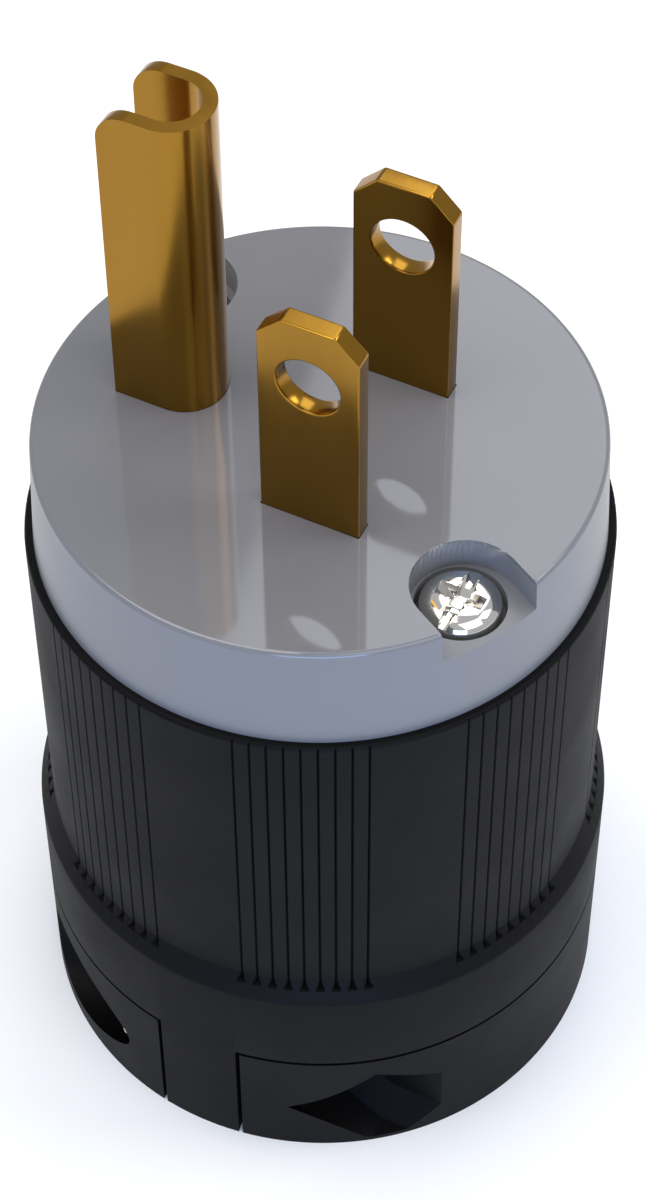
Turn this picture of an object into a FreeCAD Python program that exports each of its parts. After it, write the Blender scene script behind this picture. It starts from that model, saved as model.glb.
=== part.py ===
"""Three-wire grounding power plug, straight blades up, standing on its cord end.

The frame: the origin is the centre of the cord end, +Z runs up the plug's axis to the blades.
The ground blade is on the -X side. The neutral blade is at -Y and the hot blade at +Y.
All sizes are millimetres and all angles are degrees from +X, turning towards +Y.
"""
import FreeCAD, Part
import math
import os

import Sketcher
from FreeCAD import Placement, Rotation, Vector

os.makedirs("parts", exist_ok=True)
doc = FreeCAD.newDocument("grounding_plug")
sheet = doc.addObject("Spreadsheet::Sheet", "Sizes")

# Driving dimensions: alias, value, meaning
DIMENSIONS = [
    ("shell_radius", 18.8, "grip part of the shell, outside"),
    ("base_step", 0.9, "wider cord end, beyond the grip"),
    ("collar_top", 18.1, "top of the straight cord end"),
    ("flare_height", 1.6, "cone from the cord end up to the grip"),
    ("shell_top", 45.4, "rim that carries the face cap"),
    ("shell_lip", 0.3, "chamfer round the shell's rim"),
    ("mouth_wall", 2.2, "shell wall beside the carrier disc"),
    ("chamber_wall", 3.1, "shell wall round the wiring chamber"),
    ("floor_base", 10.8, "underside of the shell's floor, above the jaws"),
    ("floor_thickness", 2.6, "shell floor round the cord hole"),
    ("cord_hole_radius", 7.2, "hole in the shell's floor"),
    ("pillar_half_width", 2.85, "half width of the two pillars between the jaws"),
    ("pillar_depth", 2.2, "pillar, radially"),
    ("grip_top", 44.0, "upper end of the grip grooves"),
    ("grip_bottom", 19.05, "lower end of the grip grooves, in the flare"),
    ("groove_width", 0.5, "one V-shaped grip groove, across at the grip"),
    ("groove_depth", 0.4, "one grip groove, radially"),
    ("groove_overrun", 0.03, "groove cutter beyond the flare"),
    ("groove_pitch", 3.2, "angle from groove to groove"),
    ("groove_count", 9, "grooves in one panel"),
    ("panel_count", 8, "grip panels round the shell"),
    ("panel_angle", 22.5, "angle of the first panel's middle"),
    ("cap_setback", 0.9, "face cap's side inside the grip"),
    ("cap_height", 7.9, "face cap above the shell's rim"),
    ("cap_edge", 0.35, "broken upper edge of the face cap"),
    ("screw_inset", 3.2, "assembly screws inside the face cap's side"),
    ("screw_angle", -29.0, "direction of the first assembly screw"),
    ("notch_radius", 3.5, "recess round an assembly screw"),
    ("notch_depth", 2.3, "recess below the face"),
    ("bore_radius", 2.85, "counterbore round the screw head"),
    ("bore_depth", 1.4, "counterbore below the recess"),
    ("head_radius", 2.45, "assembly screw head"),
    ("head_height", 2.2, "assembly screw head"),
    ("head_dome", 0.9, "sloping shoulder of the head"),
    ("shank_radius", 1.75, "assembly and clamp screw shank"),
    ("shank_length", 25.0, "assembly screw below its head"),
    ("drive_width", 0.75, "screwdriver slot, across"),
    ("drive_depth", 1.1, "screwdriver slot, deep"),
    ("drive_turn", 38.0, "direction of the assembly screws' slot"),
    ("drive_wing", 0.62, "cross bar of the slot, as a share of the head"),
    ("screw_clearance", 0.25, "hole round a screw shank"),
    ("thread_fit", 0.02, "running fit of a thread or a pressed insert"),
    ("insert_radius", 2.6, "threaded insert, outside"),
    ("insert_length", 6.0, "threaded insert"),
    ("boss_radius", 3.6, "screw boss in the shell"),
    ("boss_top", 30.4, "top of the screw bosses"),
    ("blade_pitch", 12.7, "distance between the two line blades"),
    ("blade_offset", 2.75, "line blades from the axis, towards +X"),
    ("blade_width", 6.6, "line blade, across"),
    ("blade_sheet", 1.3, "line blade, thick"),
    ("blade_reach", 16.4, "line blade above the face"),
    ("blade_corner", 1.55, "cut corner at the blade's tip"),
    ("blade_edge", 0.18, "broken edges of the blades"),
    ("blade_hole_radius", 2.05, "hole in the line blade"),
    ("blade_hole_height", 11.65, "hole centre above the face"),
    ("slot_gap", 0.06, "clearance round a blade in its slot"),
    ("shoulder_step", 1.4, "shoulder beside the blade under the cap"),
    ("shoulder_height", 2.0, "shoulder, along the blade"),
    ("pin_offset", 9.3, "centre of the ground blade's bend from the axis"),
    ("pin_radius", 2.75, "outside radius of the ground blade's bend"),
    ("pin_sheet", 0.9, "ground blade's sheet"),
    ("pin_flange", 3.5, "straight flange beyond the bend"),
    ("pin_reach", 23.2, "ground blade above the face"),
    ("pin_corner", 2.0, "rounded corner of the flange at the tip"),
    ("disc_height", 4.0, "terminal carrier's disc"),
    ("disc_gap", 0.1, "carrier disc inside the shell"),
    ("core_gap", 0.1, "carrier core beside the terminal legs"),
    ("core_right", 7.4, "carrier core's +X face from the axis"),
    ("rib_sheet", 1.6, "barrier ribs between the terminals"),
    ("rib_angle", 125.0, "direction of the slanted barrier ribs"),
    ("rib_gap", 0.2, "barrier ribs inside the shell"),
    ("terminal_drop", 9.0, "terminal screws below the shell's rim"),
    ("leg_tail", 5.2, "terminal leg beyond its screw"),
    ("terminal_radius", 3.1, "terminal screw head"),
    ("terminal_head", 2.0, "terminal screw head, thick"),
    ("terminal_shank", 4.9, "terminal screw below its head"),
    ("terminal_relief", 2.3, "hole in the core for a screw's tip"),
    ("plate_sheet", 1.2, "wire clamp plate"),
    ("plate_width", 7.6, "wire clamp plate on a line blade"),
    ("plate_height", 7.6, "wire clamp plate, along the plug"),
    ("ground_plate_width", 6.6, "wire clamp plate on the ground blade"),
    ("jaw_gap", 0.3, "gap round the cord clamp's jaws"),
    ("jaw_half_slot", 1.0, "half of the slot between the jaws"),
    ("jaw_land_inset", 1.6, "raised land's edge inside the jaw's outer wall"),
    ("mouth_radius", 6.0, "cord mouth between the jaws"),
    ("mouth_flare", 1.2, "widening of the mouth at both ends"),
    ("mouth_flare_height", 1.4, "height of that widening"),
    ("ridge_depth", 0.6, "grooves between the cord grip's ridges"),
    ("ridge_height", 1.1, "one of those grooves, along the plug"),
    ("ridge_pitch", 2.5, "ridge to ridge"),
    ("ridge_count", 3, "grooves in the cord grip"),
    ("clamp_screw_inset", 4.5, "clamp screws inside the cord end's side, along Y"),
    ("clamp_screw_height", 4.75, "clamp screws above the cord end"),
    ("clamp_head_radius", 2.95, "clamp screw head"),
    ("clamp_head_height", 2.4, "clamp screw head"),
    ("clamp_bore_radius", 3.55, "bore for the clamp screw's head"),
    ("clamp_head_seat", 4.7, "seat of the clamp screw's head, along X"),
    ("nut_seat", 4.6, "seat of the clamp nut, along X"),
    ("nut_height", 2.4, "clamp nut"),
    ("nut_corner_radius", 3.35, "clamp nut, axis to corner"),
    ("nut_gap", 0.1, "clamp nut in its pocket"),
    ("pocket_mouth", 5.1, "nut pocket's flared mouth, axis to corner"),
    ("pocket_mouth_place", 11.5, "where that mouth is reached, along X"),
    ("pocket_mouth_side", 2.9, "flat side of that mouth from the screw, towards the axis"),
    ("screw_tip_past_nut", 1.0, "clamp screw's tip beyond its nut"),
]
HEXAGON_SIDES = 6


class Size:
    """A number that also knows its formula in the spreadsheet."""

    def __init__(self, number, formula):
        self.number = float(number)
        self.formula = formula

    def __add__(self, other):
        other = size(other)
        return Size(self.number + other.number, f"({self.formula} + {other.formula})")

    def __sub__(self, other):
        other = size(other)
        return Size(self.number - other.number, f"({self.formula} - {other.formula})")

    def __mul__(self, other):
        other = size(other)
        return Size(self.number * other.number, f"({self.formula} * {other.formula})")

    def __truediv__(self, other):
        other = size(other)
        return Size(self.number / other.number, f"({self.formula} / {other.formula})")

    def __neg__(self):
        return Size(-self.number, f"(0 - {self.formula})")


def size(value):
    """Return a plain number or a Size as a Size."""
    return value if isinstance(value, Size) else Size(value, repr(float(value)))


def cosine(angle):
    """Return the cosine of a Size in degrees."""
    return Size(math.cos(math.radians(angle.number)), f"cos({angle.formula})")


def sine(angle):
    """Return the sine of a Size in degrees."""
    return Size(math.sin(math.radians(angle.number)), f"sin({angle.formula})")


class Sizes:
    """The driving dimensions, each as an attribute named like its alias."""


S = Sizes()
for row, (alias, value, meaning) in enumerate(DIMENSIONS, start=1):
    sheet.set(f"A{row}", meaning)
    sheet.set(f"B{row}", str(value))
    sheet.setAlias(f"B{row}", alias)
    setattr(S, alias, Size(value, f"Sizes.{alias}"))
doc.recompute()

# Levels and places that several pieces share
base_radius = S.shell_radius + S.base_step
cap_radius = S.shell_radius - S.cap_setback
screw_circle = cap_radius - S.screw_inset
face = S.shell_top + S.cap_height
floor_top = S.floor_base + S.floor_thickness
disc_base = S.shell_top - S.disc_height
shoulder_base = S.shell_top - S.shoulder_height
terminal_height = S.shell_top - S.terminal_drop
leg_base = terminal_height - S.leg_tail
clamp_screw_offset = base_radius - S.clamp_screw_inset
mouth_bore = S.shell_radius - S.mouth_wall
chamber_bore = S.shell_radius - S.chamber_wall
head_seat = face - S.notch_depth - S.bore_depth
blade_y = S.blade_pitch / 2
leg_outer = blade_y + S.blade_sheet / 2
leg_inner = blade_y - S.blade_sheet / 2
pin_tip = S.pin_offset - S.pin_radius
strip_outer = pin_tip + S.pin_sheet
flange_end = S.pin_offset + S.pin_flange
shaft_hole = S.shank_radius + S.screw_clearance
thread_hole = S.shank_radius + S.thread_fit
OVERRUN = 5.0


def bind(item, field, value):
    """Tie one field of an object to a formula of the spreadsheet."""
    item.setExpression(field, size(value).formula)


def place(item, x=0, y=0, z=0, axis=None, angle=0):
    """Put an object at formula-driven coordinates, turned about an axis."""
    if axis is not None:
        item.Placement = Placement(Vector(0, 0, 0), Rotation(axis, size(angle).number))
        if isinstance(angle, Size):
            bind(item, "Placement.Rotation.Angle", angle)
    bind(item, "Placement.Base.x", x)
    bind(item, "Placement.Base.y", y)
    bind(item, "Placement.Base.z", z)
    return item


def box(name, x, y, z):
    """Make a box from its low and high ends along X, Y and Z."""
    item = doc.addObject("Part::Box", name)
    bind(item, "Length", size(x[1]) - x[0])
    bind(item, "Width", size(y[1]) - y[0])
    bind(item, "Height", size(z[1]) - z[0])
    return place(item, x[0], y[0], z[0])


def turned_box(name, x, y, z, angle, centre=(0, 0)):
    """Make a box given in axes that are turned about an upright line through a centre."""
    item = box(name, x, y, z)
    away = size(x[0]) * cosine(angle) - size(y[0]) * sine(angle) + centre[0]
    across = size(x[0]) * sine(angle) + size(y[0]) * cosine(angle) + centre[1]
    return place(item, away, across, z[0], Vector(0, 0, 1), angle)


def rod(name, radius, x=0, y=0, z=(0, 1)):
    """Make an upright cylinder between two levels."""
    item = doc.addObject("Part::Cylinder", name)
    bind(item, "Radius", radius)
    bind(item, "Height", size(z[1]) - z[0])
    return place(item, x, y, z[0])


def cone(name, low_radius, high_radius, z):
    """Make an upright cone on the plug's axis between two levels."""
    item = doc.addObject("Part::Cone", name)
    bind(item, "Radius1", low_radius)
    bind(item, "Radius2", high_radius)
    bind(item, "Height", size(z[1]) - z[0])
    return place(item, 0, 0, z[0])


def rod_along_x(name, radius, x, y, z):
    """Make a cylinder that runs along +X between two places."""
    item = doc.addObject("Part::Cylinder", name)
    bind(item, "Radius", radius)
    bind(item, "Height", size(x[1]) - x[0])
    return place(item, x[0], y, z, Vector(0, 1, 0), 90)


def rod_along_y(name, radius, x, y, z):
    """Make a cylinder that runs along +Y between two places."""
    item = doc.addObject("Part::Cylinder", name)
    bind(item, "Radius", radius)
    bind(item, "Height", size(y[1]) - y[0])
    return place(item, x, y[0], z, Vector(1, 0, 0), -90)


def fuse(name, *items):
    """Join several solids into one."""
    result = doc.addObject("Part::MultiFuse", name)
    result.Shapes = list(items)
    result.Refine = True
    return result


def common(name, *items):
    """Keep what several solids share."""
    result = doc.addObject("Part::MultiCommon", name)
    result.Shapes = list(items)
    return result


def cut(name, base, *tools):
    """Cut the tools out of a solid."""
    result = doc.addObject("Part::Cut", name)
    result.Base = base
    result.Tool = tools[0] if len(tools) == 1 else fuse(name + "_tools", *tools)
    result.Refine = True
    return result


def chamfered(name, base, width, choose):
    """Break the edges of a solid that the choose function accepts."""
    doc.recompute()
    edges = [
        (number, width.number, width.number)
        for number, edge in enumerate(base.Shape.Edges, start=1)
        if choose(edge)
    ]
    result = doc.addObject("Part::Chamfer", name)
    result.Base = base
    result.Edges = edges
    return result


def outline_sketch(body, name, role, corners, circles=()):
    """Draw a closed outline of straight lines, and circles, each bound to the spreadsheet."""
    sketch = body.newObject("Sketcher::SketchObject", name)
    plane = next(item for item in body.Origin.OriginFeatures if item.Role == role)
    sketch.AttachmentSupport = (plane, [""])
    sketch.MapMode = "FlatFace"
    corners = [(size(a), size(b)) for a, b in corners]
    count = len(corners)
    for index, (a, b) in enumerate(corners):
        after = corners[(index + 1) % count]
        start = Vector(a.number, b.number, 0)
        end = Vector(after[0].number, after[1].number, 0)
        sketch.addGeometry(Part.LineSegment(start, end), False)
    for index in range(count):
        sketch.addConstraint(Sketcher.Constraint("Coincident", index, 2, (index + 1) % count, 1))
    for index, corner in enumerate(corners):
        for kind, axis, value in (("DistanceX", -2, corner[0]), ("DistanceY", -1, corner[1])):
            pin_point(sketch, index, 1, kind, axis, value)
    for (a, b), radius in circles:
        a, b = size(a), size(b)
        circle = Part.Circle(Vector(a.number, b.number, 0), Vector(0, 0, 1), radius.number)
        number = sketch.addGeometry(circle, False)
        pin_point(sketch, number, 3, "DistanceX", -2, a)
        pin_point(sketch, number, 3, "DistanceY", -1, b)
        rule = sketch.addConstraint(Sketcher.Constraint("Radius", number, radius.number))
        sketch.setExpression(f"Constraints[{rule}]", radius.formula)
    return sketch


def pin_point(sketch, geometry, point, kind, axis, value):
    """Fix one coordinate of a sketch point: on the axis when it is zero, else by a formula."""
    if value.number == 0.0:
        sketch.addConstraint(Sketcher.Constraint("PointOnObject", geometry, point, axis))
        return
    rule = sketch.addConstraint(Sketcher.Constraint(kind, -1, 1, geometry, point, value.number))
    sketch.setExpression(f"Constraints[{rule}]", value.formula)


def screw_place(side):
    """Return the X and Y of an assembly screw: side is 1 for the first, -1 for the opposite one."""
    return (
        screw_circle * cosine(S.screw_angle) * side,
        screw_circle * sine(S.screw_angle) * side,
    )


def drive_cross(name, centre_x, centre_y, top, radius):
    """Make the cutter of a slotted cross recess that is open at the top of an upright screw head."""
    half = S.drive_width / 2
    low = top - S.drive_depth
    wing_end = radius * S.drive_wing
    slot = box(name + "_slot", (-radius, radius), (-half, half), (low, top + 1))
    wing = box(name + "_wing", (-half, half), (-wing_end, wing_end), (low, top + 1))
    cross = fuse(name, slot, wing)
    return place(cross, centre_x, centre_y, 0, Vector(0, 0, 1), S.drive_turn)


def make_shell():
    """Moulded shell: grip grooves, a flared cord end, a floor, two pillars and two screw bosses."""
    body = doc.addObject("PartDesign::Body", "shell_blank")
    outside = [
        (S.cord_hole_radius, S.floor_base),
        (base_radius, S.floor_base),
        (base_radius, S.collar_top),
        (S.shell_radius, S.collar_top + S.flare_height),
        (S.shell_radius, S.shell_top - S.shell_lip),
        (S.shell_radius - S.shell_lip, S.shell_top),
        (mouth_bore, S.shell_top),
        (mouth_bore, disc_base),
        (chamber_bore, disc_base),
        (chamber_bore, floor_top),
        (S.cord_hole_radius, floor_top),
    ]
    sketch = outline_sketch(body, "shell_profile", "XZ_Plane", outside)
    turned = body.newObject("PartDesign::Revolution", "shell_turned")
    turned.Profile = sketch
    turned.ReferenceAxis = (sketch, ["V_Axis"])
    turned.Angle = 360
    pieces = [body]
    for side in (-1, 1):
        inner = base_radius - S.pillar_depth
        ends = (inner, base_radius + 1) if side > 0 else (-base_radius - 1, -inner)
        bar = box("pillar_bar", (-S.pillar_half_width, S.pillar_half_width), ends, (0, S.collar_top - 1))
        pieces.append(common("pillar", bar, rod("pillar_round", base_radius, z=(0, S.collar_top - 1))))
    bosses = []
    for side in (1, -1):
        x, y = screw_place(side)
        boss = rod("boss", S.boss_radius, x, y, (S.floor_base, S.boss_top))
        bosses.append(common("boss_inside", boss, rod("boss_limit", chamber_bore + 1, z=(0, S.boss_top))))
    blank = fuse("shell_body", *pieces, *bosses)
    tools = [grip_cutter()]
    for side in (1, -1):
        x, y = screw_place(side)
        insert_base = S.boss_top - S.insert_length
        tools.append(rod("insert_hole", S.insert_radius + S.thread_fit, x, y, (insert_base, S.boss_top + 1)))
        tools.append(rod("tip_hole", shaft_hole, x, y, (floor_top, insert_base + 1)))
        tools.append(rod("screw_channel", shaft_hole, x, y, (S.boss_top, S.shell_top + 1)))
    return cut("shell", blank, *tools)


def grip_cutter():
    """All grip grooves as one cutter: V-shaped bars, evenly in each panel and round the shell.

    The bars reach out to the flare where they end, and no further, so that none meets the next.
    """
    floor = S.shell_radius - S.groove_depth
    flare = base_radius - (S.grip_bottom - S.collar_top) * S.base_step / S.flare_height
    rim = flare + S.groove_overrun
    half = (rim - floor) * S.groove_width / S.groove_depth / 2
    low = S.grip_bottom.number
    corners = [
        Vector(floor.number, 0, low),
        Vector(rim.number, -half.number, low),
        Vector(rim.number, half.number, low),
        Vector(floor.number, 0, low),
    ]
    bar = Part.Face(Part.makePolygon(corners))
    groove = bar.extrude(Vector(0, 0, S.grip_top.number - low))
    middle = (S.groove_count.number - 1) / 2
    grooves = []
    for panel in range(int(S.panel_count.number)):
        centre = S.panel_angle.number + panel * 360.0 / S.panel_count.number
        for step in range(int(S.groove_count.number)):
            turned = groove.copy()
            angle = centre + (step - middle) * S.groove_pitch.number
            turned.rotate(Vector(0, 0, 0), Vector(0, 0, 1), angle)
            grooves.append(turned)
    cutter = doc.addObject("Part::Feature", "grip_grooves")
    cutter.Shape = Part.makeCompound(grooves)
    return cutter


def is_top_circle(level, radius):
    """Return a test for the circular edge at a level with a radius."""
    def test(edge):
        bounds = edge.BoundBox
        flat = abs(bounds.ZMin - level) < 0.01 and abs(bounds.ZMax - level) < 0.01
        return flat and bounds.XMax > radius - 0.01
    return test


def make_face_cap():
    """Face cap: broken rim, blade slots, and two open recesses with counterbores for the screws."""
    disc = rod("cap_disc", cap_radius, z=(S.shell_top, face))
    disc = chamfered("cap_edged", disc, S.cap_edge, is_top_circle(face.number, cap_radius.number))
    tools = []
    above = face + OVERRUN
    below = S.shell_top - OVERRUN
    half_width = S.blade_width / 2 + S.slot_gap
    half_sheet = S.blade_sheet / 2 + S.slot_gap
    for side in (-1, 1):
        centre = blade_y * side
        tools.append(box(
            "blade_slot",
            (S.blade_offset - half_width, S.blade_offset + half_width),
            (centre - half_sheet, centre + half_sheet),
            (below, above),
        ))
    tools.append(ground_section("ground_slot", S.slot_gap, (below, above)))
    for side in (1, -1):
        x, y = screw_place(side)
        notch_floor = face - S.notch_depth
        tools.append(rod("notch_round", S.notch_radius, x, y, (notch_floor, above)))
        turn = S.screw_angle if side > 0 else S.screw_angle + 180
        across = (-S.notch_radius, S.notch_radius)
        tools.append(turned_box("notch_way", (0, OVERRUN * 2), across, (notch_floor, above), turn, (x, y)))
        tools.append(rod("counterbore", S.bore_radius, x, y, (head_seat, above)))
        tools.append(rod("screw_hole", shaft_hole, x, y, (below, above)))
    return cut("face_cap", disc, *tools)


def ground_section(name, grow, z):
    """The ground blade's U section between two levels, grown all round by a clearance."""
    centre = -S.pin_offset
    outer = S.pin_radius + grow
    inner = S.pin_radius - S.pin_sheet - grow
    end = -flange_end - grow
    round_part = rod(name + "_round", outer, centre, 0, z)
    square_part = box(name + "_square", (end, centre), (-outer, outer), z)
    hollow = rod(name + "_hollow", inner, centre, 0, (size(z[0]) - 1, size(z[1]) + 1))
    channel = box(
        name + "_channel", (end - 1, centre), (-inner, inner), (size(z[0]) - 1, size(z[1]) + 1)
    )
    return cut(name, fuse(name + "_outer", round_part, square_part), hollow, channel)


def make_line_blade(name, side):
    """Line blade: flat sheet with cut corners and a hole, shoulders under the cap and a terminal leg."""
    body = doc.addObject("PartDesign::Body", name)
    half = S.blade_width / 2
    wide = half + S.shoulder_step
    tip = face + S.blade_reach
    right = [
        (half, leg_base),
        (half, shoulder_base),
        (wide, shoulder_base),
        (wide, S.shell_top),
        (half, S.shell_top),
        (half, tip - S.blade_corner),
        (half - S.blade_corner, tip),
    ]
    left = [(-a, b) for a, b in reversed(right)]
    holes = [
        ((0, face + S.blade_hole_height), S.blade_hole_radius),
        ((0, terminal_height), thread_hole),
    ]
    sketch = outline_sketch(body, name + "_outline", "XZ_Plane", right + left, holes)
    pad = body.newObject("PartDesign::Pad", name + "_sheet")
    pad.Profile = sketch
    pad.Midplane = True
    bind(pad, "Length", S.blade_sheet)
    bind(body, "Placement.Base.x", S.blade_offset)
    bind(body, "Placement.Base.y", blade_y * side)
    doc.recompute()
    names = []
    for number, edge in enumerate(pad.Shape.Edges, start=1):
        if edge.BoundBox.ZMin > face.number - S.cap_height.number / 2 or is_blade_side(edge, half.number):
            names.append(f"Edge{number}")
    edges = body.newObject("PartDesign::Chamfer", name + "_edges")
    edges.Base = (pad, names)
    bind(edges, "Size", S.blade_edge)
    return body


def is_blade_side(edge, half):
    """Tell whether an edge is a long upright one on the side of a line blade above the shoulders."""
    bounds = edge.BoundBox
    upright = bounds.XLength < 0.01 and bounds.YLength < 0.01
    outer = abs(abs(bounds.XMin) - half) < 0.01
    return upright and outer and bounds.ZMin > S.shell_top.number - 0.01


def make_ground_blade():
    """Ground blade: a sheet bent to a U, open outwards, with shoulders and a flat terminal leg."""
    tip = face + S.pin_reach
    section = ground_section("ground_sheet", 0, (shoulder_base, tip))
    y_outer = S.pin_radius
    y_inner = S.pin_radius - S.pin_sheet
    shoulders = []
    for low, high in ((-y_outer, -y_inner), (y_inner, y_outer)):
        step = (-flange_end - S.shoulder_step, -flange_end + 1)
        shoulders.append(box("ground_shoulder", step, (low, high), (shoulder_base, S.shell_top)))
    leg = box("ground_leg", (-strip_outer, -pin_tip), (-y_outer, y_outer), (leg_base, S.shell_top))
    blade = fuse("ground_blank", section, leg, *shoulders)
    corner_block = box(
        "corner_block",
        (-flange_end - 1, -flange_end + S.pin_corner),
        (-y_outer - 1, y_outer + 1),
        (tip - S.pin_corner, tip + 1),
    )
    corner_round = rod_along_y(
        "corner_round",
        S.pin_corner,
        -flange_end + S.pin_corner,
        (-y_outer - 2, y_outer + 2),
        tip - S.pin_corner,
    )
    corner = cut("corner_cutter", corner_block, corner_round)
    thread = rod_along_x(
        "ground_thread", thread_hole, (-strip_outer - 1, -pin_tip + 1), 0, terminal_height
    )
    blade = cut("ground_cut", blade, corner, thread)
    result = chamfered("blade_ground", blade, S.blade_edge, is_ground_rim(tip.number))
    return result


def is_ground_rim(tip):
    """Return a test for the edges round the free end and the open side of the ground blade."""
    def test(edge):
        bounds = edge.BoundBox
        above = bounds.ZMin > S.shell_top.number - 0.01
        on_tip = bounds.ZMin > tip - S.pin_corner.number - 0.01
        upright = bounds.XLength < 0.01 and bounds.YLength < 0.01
        at_end = bounds.XMax < -flange_end.number + 0.01
        return above and (on_tip or (upright and at_end))
    return test


def make_carrier():
    """Terminal carrier: a disc with blade pockets, a core between the legs and three barrier ribs."""
    disc_radius = mouth_bore - S.disc_gap
    disc = rod("carrier_disc", disc_radius, z=(disc_base, S.shell_top))
    core_half = leg_inner - S.core_gap
    core_left = -pin_tip + S.core_gap
    core = box("carrier_core", (core_left, S.core_right), (-core_half, core_half), (leg_base, disc_base))
    half_rib = S.rib_sheet / 2
    ribs = []
    rib_length = chamber_bore - S.rib_gap
    for turn in (size(0), S.rib_angle, -S.rib_angle):
        reach = (0, chamber_bore + 1)
        ribs.append(turned_box("rib", reach, (-half_rib, half_rib), (leg_base, disc_base), turn))
    limit = rod("rib_limit", rib_length, z=(leg_base, disc_base))
    rib_set = common("ribs", fuse("rib_bars", *ribs), limit)
    blank = fuse("carrier_blank", disc, core, rib_set)
    tools = []
    half_width = S.blade_width / 2 + S.slot_gap
    half_sheet = S.blade_sheet / 2 + S.slot_gap
    half_shoulder = half_width + S.shoulder_step
    for side in (-1, 1):
        y = (blade_y * side - half_sheet, blade_y * side + half_sheet)
        x = S.blade_offset
        tools.append(box("leg_slot", (x - half_width, x + half_width), y, (disc_base - 1, S.shell_top + 1)))
        tools.append(box(
            "shoulder_pocket", (x - half_shoulder, x + half_shoulder), y, (shoulder_base, S.shell_top + 1)
        ))
        tip_end = leg_inner - S.terminal_shank
        ends = (tip_end, leg_inner) if side > 0 else (-leg_inner, -tip_end)
        tools.append(rod_along_y("tip_relief", S.terminal_relief, x, ends, terminal_height))
    y = (-S.pin_radius - S.slot_gap, S.pin_radius + S.slot_gap)
    strip = (-strip_outer - S.slot_gap, -pin_tip + S.slot_gap)
    tools.append(box("ground_leg_slot", strip, y, (disc_base - 1, S.shell_top + 1)))
    pocket = (-flange_end - S.shoulder_step - S.slot_gap, -pin_tip + S.slot_gap)
    tools.append(box("ground_pocket", pocket, y, (shoulder_base, S.shell_top + 1)))
    tools.append(rod_along_x(
        "ground_tip_relief", S.terminal_relief, (-pin_tip, -pin_tip + S.terminal_shank), 0, terminal_height
    ))
    for side in (1, -1):
        x, y = screw_place(side)
        tools.append(rod("carrier_screw_hole", shaft_hole, x, y, (disc_base - 1, S.shell_top + 1)))
    return cut("terminal_carrier", blank, *tools)


def make_line_plate(name, side):
    """Wire clamp plate that a line terminal's screw presses on the outside of the blade's leg."""
    outer = leg_outer + S.plate_sheet
    y = (leg_outer, outer) if side > 0 else (-outer, -leg_outer)
    half = S.plate_width / 2
    high = S.plate_height / 2
    plate = box(
        name + "_blank",
        (S.blade_offset - half, S.blade_offset + half),
        y,
        (terminal_height - high, terminal_height + high),
    )
    hole = rod_along_y(
        name + "_hole", shaft_hole, S.blade_offset, (size(y[0]) - 1, size(y[1]) + 1), terminal_height
    )
    return cut(name, plate, hole)


def make_ground_plate(name):
    """Wire clamp plate on the outside of the ground blade's leg."""
    half = S.ground_plate_width / 2
    high = S.plate_height / 2
    x = (-strip_outer - S.plate_sheet, -strip_outer)
    plate = box(
        name + "_blank", x, (-half, half), (terminal_height - high, terminal_height + high)
    )
    hole = rod_along_x(name + "_hole", shaft_hole, (x[0] - 1, x[1] + 1), 0, terminal_height)
    return cut(name, plate, hole)


def make_line_screw(name, side):
    """Terminal screw of a line blade, its slotted head outwards."""
    seat = leg_outer + S.plate_sheet
    top = seat + S.terminal_head
    tip = seat - S.terminal_shank
    shank_ends = (tip, seat) if side > 0 else (-seat, -tip)
    head_ends = (seat, top) if side > 0 else (-top, -seat)
    slot_ends = (top - S.drive_depth, top + 1) if side > 0 else (-top - 1, -top + S.drive_depth)
    x, z = S.blade_offset, terminal_height
    shank = rod_along_y(name + "_shank", S.shank_radius, x, shank_ends, z)
    head = rod_along_y(name + "_head", S.terminal_radius, x, head_ends, z)
    half = S.drive_width / 2
    reach = S.terminal_radius + 1
    slot = box(name + "_slot", (x - reach, x + reach), slot_ends, (z - half, z + half))
    return cut(name, fuse(name + "_blank", shank, head), slot)


def make_ground_screw(name):
    """Terminal screw of the ground blade, its slotted head outwards."""
    seat = strip_outer + S.plate_sheet
    top = seat + S.terminal_head
    z = terminal_height
    shank = rod_along_x(name + "_shank", S.shank_radius, (-seat, -seat + S.terminal_shank), 0, z)
    head = rod_along_x(name + "_head", S.terminal_radius, (-top, -seat), 0, z)
    half = S.drive_width / 2
    reach = S.terminal_radius + 1
    slot = box(name + "_slot", (-top - 1, -top + S.drive_depth), (-reach, reach), (z - half, z + half))
    return cut(name, fuse(name + "_blank", shank, head), slot)


def make_assembly_screw(name, side):
    """Long screw from the face into the shell: domed head with a slotted cross recess."""
    x, y = screw_place(side)
    straight = head_seat + S.head_height - S.head_dome
    top = head_seat + S.head_height
    shank = rod(name + "_shank", S.shank_radius, x, y, (head_seat - S.shank_length, head_seat))
    head = rod(name + "_head", S.head_radius, x, y, (head_seat, top))
    head = chamfered(name + "_dome", head, S.head_dome, is_upper_edge(top.number))
    blank = fuse(name + "_blank", shank, head)
    return cut(name, blank, drive_cross(name + "_drive", x, y, top, S.head_radius))


def is_upper_edge(level):
    """Return a test for flat edges at a level."""
    def test(edge):
        bounds = edge.BoundBox
        return abs(bounds.ZMin - level) < 0.01 and abs(bounds.ZMax - level) < 0.01
    return test


def make_insert(name, side):
    """Threaded insert in the shell's screw boss."""
    x, y = screw_place(side)
    base = S.boss_top - S.insert_length
    sleeve = rod(name + "_sleeve", S.insert_radius, x, y, (base, S.boss_top))
    hole = rod(name + "_thread", thread_hole, x, y, (base - 1, S.boss_top + 1))
    return cut(name, sleeve, hole)


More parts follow.
